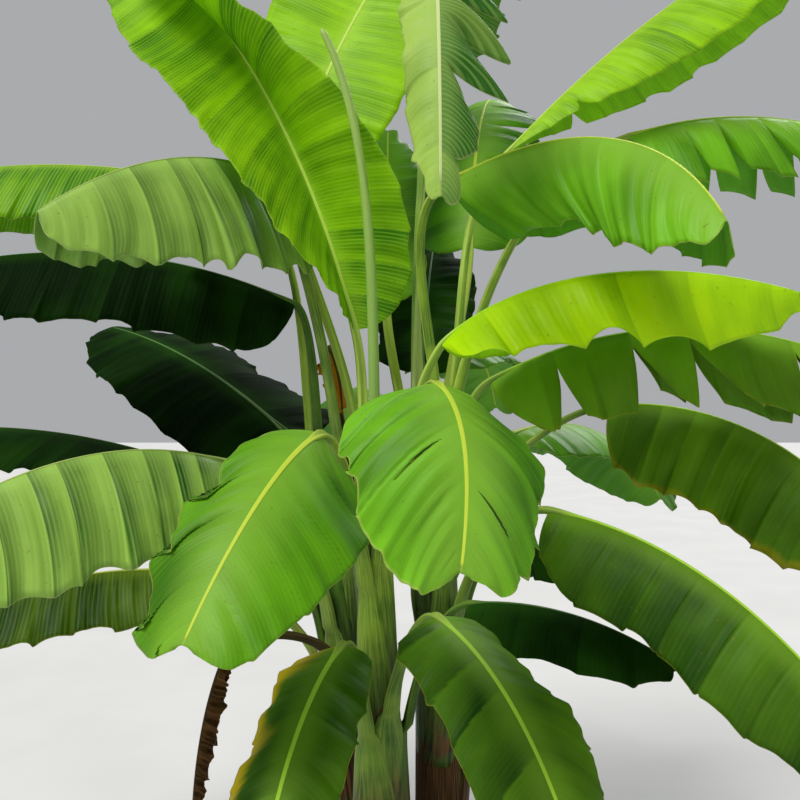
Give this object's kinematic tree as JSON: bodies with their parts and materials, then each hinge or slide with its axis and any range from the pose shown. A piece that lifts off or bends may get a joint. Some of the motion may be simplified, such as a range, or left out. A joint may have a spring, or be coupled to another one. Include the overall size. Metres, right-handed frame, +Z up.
{
  "type": "potted banana plant",
  "caption": "Clump of leaning banana stems in a plain round pot, with a rolled young leaf and a full crown of long, arching, partly torn leaf blades on grooved stalks.",
  "frame": {"origin": "middle of the pot's flat underside", "axes": "+Z up the pot's axis, +X to the right of the picture's view, -Y toward the viewer of the picture"},
  "size_m": [3.0329, 2.351, 3.2499],
  "materials": {
    "pot": "matt fired clay, unglazed",
    "soil": "loose damp potting soil",
    "stem": "smooth wrapped sheaths, brown and papery low down",
    "rolled_leaf": "pale, tightly rolled",
    "leaf_young": "bright yellow-green, satin, finely ribbed",
    "leaf_mature": "mid green, satin, finely ribbed",
    "leaf_dull": "grey-green with broad pleats",
    "leaf_shaded": "dark green, satin",
    "leaf_yellowed": "green fading to yellow at the margins",
    "leaf_dead": "dry, brown, papery"
  },
  "bodies": {
    "root": {"blade_arch_left": "leaf_dull", "blade_arch_right": "leaf_mature", "blade_back_centre": "leaf_mature", "blade_back_left": "leaf_mature", "blade_back_low": "leaf_mature", "blade_back_low_right": "leaf_shaded", "blade_back_right": "leaf_mature", "blade_bright_right": "leaf_young", "blade_far_left": "leaf_young", "blade_front_centre": "leaf_mature", "blade_front_left": "leaf_mature", "blade_low_left": "leaf_yellowed", "blade_low_right": "leaf_mature", "blade_mid_back_left": "leaf_shaded", "blade_mid_left": "leaf_dull", "blade_mid_right": "leaf_dull", "blade_overhead": "leaf_mature", "blade_shade_left": "leaf_shaded", "blade_skirt_centre": "leaf_mature", "blade_skirt_left": "leaf_shaded", "blade_torn_far_right": "leaf_mature", "blade_torn_right": "leaf_shaded", "leaf_back_upright": "leaf_mature", "leaf_dead_left": "leaf_dead", "leaf_inner_back_high": "leaf_mature", "leaf_inner_back_low": "leaf_shaded", "leaf_low_centre": "leaf_shaded", "leaf_shade_back_left": "leaf_shaded", "leaf_upright_back": "leaf_young", "leaf_upright_left": "leaf_young", "leaf_upright_right": "leaf_young", "leaf_withered_back": "leaf_dead", "pot": "pot", "soil": "soil", "spear_leaf": "rolled_leaf", "stalk_arch_left": "leaf_dull", "stalk_arch_right": "leaf_mature", "stalk_back_centre": "leaf_mature", "stalk_back_left": "leaf_mature", "stalk_back_low": "leaf_mature", "stalk_back_low_right": "leaf_shaded", "stalk_back_right": "leaf_mature", "stalk_bright_right": "leaf_young", "stalk_far_left": "leaf_young", "stalk_front_centre": "leaf_mature", "stalk_front_left": "leaf_mature", "stalk_low_left": "leaf_yellowed", "stalk_low_right": "leaf_mature", "stalk_mid_back_left": "leaf_shaded", "stalk_mid_left": "leaf_dull", "stalk_mid_right": "leaf_dull", "stalk_overhead": "leaf_mature", "stalk_shade_left": "leaf_shaded", "stalk_skirt_centre": "leaf_mature", "stalk_skirt_left": "leaf_shaded", "stalk_torn_far_right": "leaf_mature", "stalk_torn_right": "leaf_shaded", "stem_front": "stem", "stem_left": "stem", "stem_right": "stem"}
  },
  "joints": []
}
